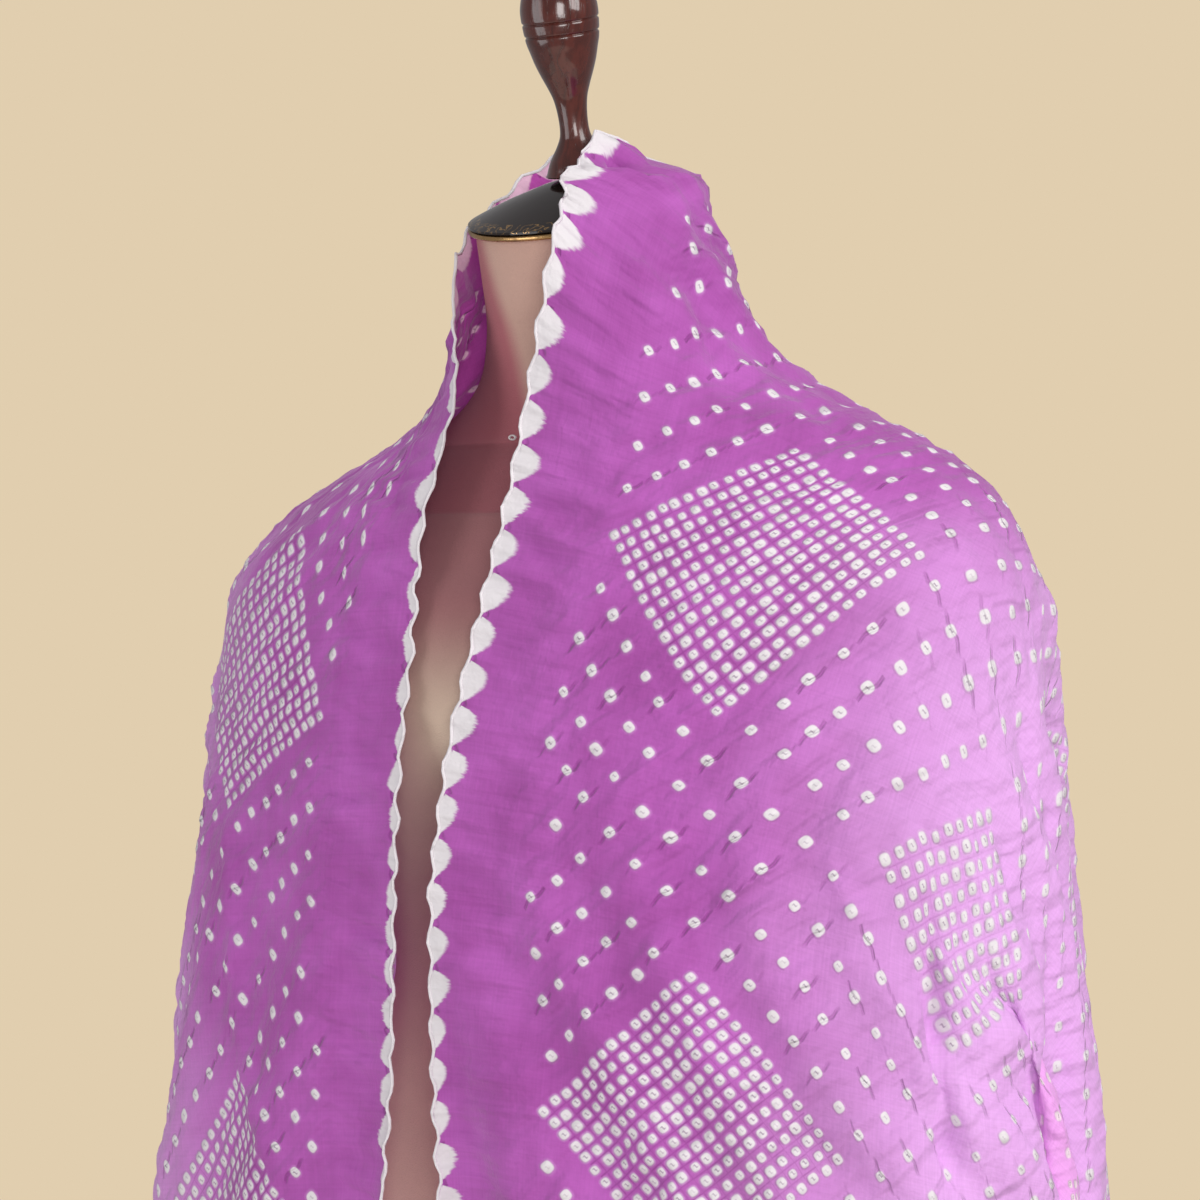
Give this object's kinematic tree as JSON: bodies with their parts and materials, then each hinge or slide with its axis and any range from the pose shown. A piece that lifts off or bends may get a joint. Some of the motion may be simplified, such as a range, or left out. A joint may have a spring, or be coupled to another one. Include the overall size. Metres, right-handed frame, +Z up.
{
  "type": "bandhani cloth on a dress form",
  "caption": "Tie-dyed cotton cloth with squares of fine dots and a half-moon border, hung round the neck and shoulders of a floor-standing dress form.",
  "frame": {"origin": "centre of the stand's flat underside, on the floor", "axes": "+Z up along the pole, -Y the way the form faces, +X the form's left side"},
  "size_m": [0.6324, 0.4126, 1.5159],
  "materials": {
    "cotton": "orchid purple tie-dyed cotton with undyed dots",
    "jersey": "pinkish beige stretch cover, cream below the chest",
    "gilt": "worn gilt",
    "lacquer": "high gloss black",
    "turned_wood": "dark reddish brown wood under gloss varnish",
    "stand_wood": "dark reddish brown wood under satin varnish"
  },
  "bodies": {
    "root": {"cloth": "cotton", "torso": "jersey", "cap_ring": "gilt", "neck_cap": "lacquer", "finial": "turned_wood", "pole": "stand_wood", "base": "stand_wood"}
  },
  "joints": []
}
